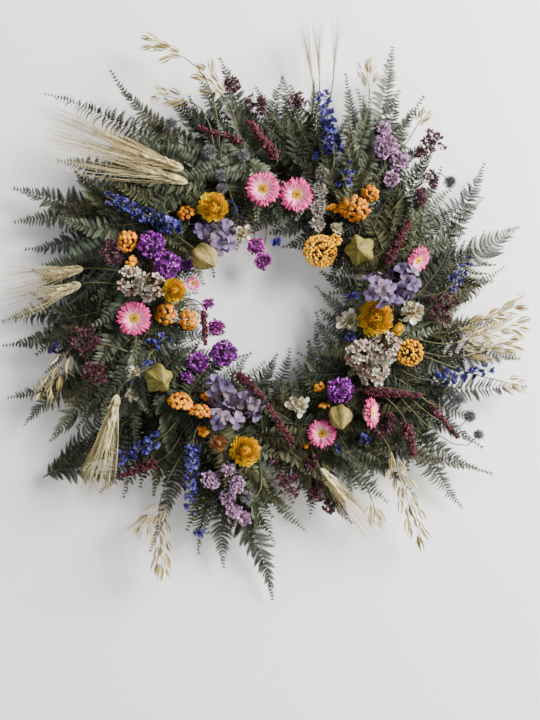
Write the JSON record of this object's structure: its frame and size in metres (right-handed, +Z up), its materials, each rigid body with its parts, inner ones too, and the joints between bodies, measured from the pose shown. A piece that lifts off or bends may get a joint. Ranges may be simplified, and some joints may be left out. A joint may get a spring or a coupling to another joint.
{
  "type": "door wreath",
  "caption": "Round door wreath of dried flowers, grasses and fern fronds bound on a double wire ring, with a hinged wire hanging loop.",
  "frame": {"origin": "inside of the hanging loop's bend, where the nail bears, in the plane of the frame wires", "axes": "+X to the right seen from the front, +Z up, the wreath faces -Y and its back lies towards +Y"},
  "size_m": [0.5426, 0.0773, 0.6034],
  "materials": {
    "frame_wire": "satin green coat over steel wire",
    "binding_wire": "matt green florist's wire",
    "hanger_wire": "galvanised wire",
    "bound_stems": "dry straw-coloured plant stems",
    "fern": "dried bracken, matt, grey green",
    "yellow_petals": "papery bracts with a faint sheen",
    "apricot_petals": "papery bracts",
    "pink_petals": "papery bracts, white at the base",
    "cream_petals": "papery bracts",
    "lantern_husk": "veined papery husk",
    "hydrangea_purple": "veined dry petals",
    "hydrangea_white": "shrivelled dry petals",
    "statice_purple": "crinkled papery calyx",
    "statice_magenta": "crinkled papery calyx",
    "statice_lilac": "crinkled papery calyx",
    "statice_pearl": "small pale calyces",
    "tansy": "matt domed buttons",
    "yarrow": "tiny packed florets",
    "oregano": "small dusky bracts",
    "thistle": "spiny steel-blue balls",
    "larkspur": "thin blue petals",
    "amaranth": "granular dark red tassels",
    "barley": "straw-coloured ears and awns",
    "oats": "straw-coloured spikelets",
    "awn_straw": "fine pale awns"
  },
  "bodies": {
    "wreath": {"outer_frame_ring": "frame_wire", "inner_frame_ring": "frame_wire", "frame_cross_bars": "frame_wire", "binding_wire": "binding_wire", "yellow_strawflowers": "yellow_petals", "apricot_strawflower": "apricot_petals", "pink_paper_daisies": "pink_petals", "cream_everlastings": "cream_petals", "lantern_pods": "lantern_husk", "purple_hydrangea": "hydrangea_purple", "white_hydrangea": "hydrangea_white", "purple_statice": "statice_purple", "magenta_statice": "statice_magenta", "lilac_statice": "statice_lilac", "pearly_statice": "statice_pearl", "tansy_buttons": "tansy", "yarrow_heads": "yarrow", "oregano_sprigs": "oregano", "globe_thistles": "thistle", "larkspur_sprays": "larkspur", "larkspur_florets": "larkspur", "amaranth_tassels": "amaranth", "barley_ears": "barley", "oat_sprays": "oats", "awn_grass": "awn_straw", "ferns_1_oclock": "fern", "ferns_2_oclock": "fern", "ferns_3_oclock": "fern", "ferns_4_oclock": "fern", "ferns_5_oclock": "fern", "ferns_6_oclock": "fern", "ferns_7_oclock": "fern", "ferns_8_oclock": "fern", "ferns_9_oclock": "fern", "ferns_10_oclock": "fern", "ferns_11_oclock": "fern", "ferns_12_oclock": "fern", "posy_stems_1_oclock": "bound_stems", "posy_stems_2_oclock": "bound_stems", "posy_stems_3_oclock": "bound_stems", "posy_stems_4_oclock": "bound_stems", "posy_stems_5_oclock": "bound_stems", "posy_stems_6_oclock": "bound_stems", "posy_stems_7_oclock": "bound_stems", "posy_stems_8_oclock": "bound_stems", "posy_stems_9_oclock": "bound_stems", "posy_stems_10_oclock": "bound_stems", "posy_stems_11_oclock": "bound_stems", "posy_stems_12_oclock": "bound_stems"},
    "hanger": {"hanging_loop": "hanger_wire"}
  },
  "joints": [
    {"name": "loop_hinge", "type": "hinge", "parent": "wreath", "child": "hanger", "pos_m": [0, 0, -0.026], "axis": [1, 0, 0], "range_deg": [-170, 15]}
  ]
}
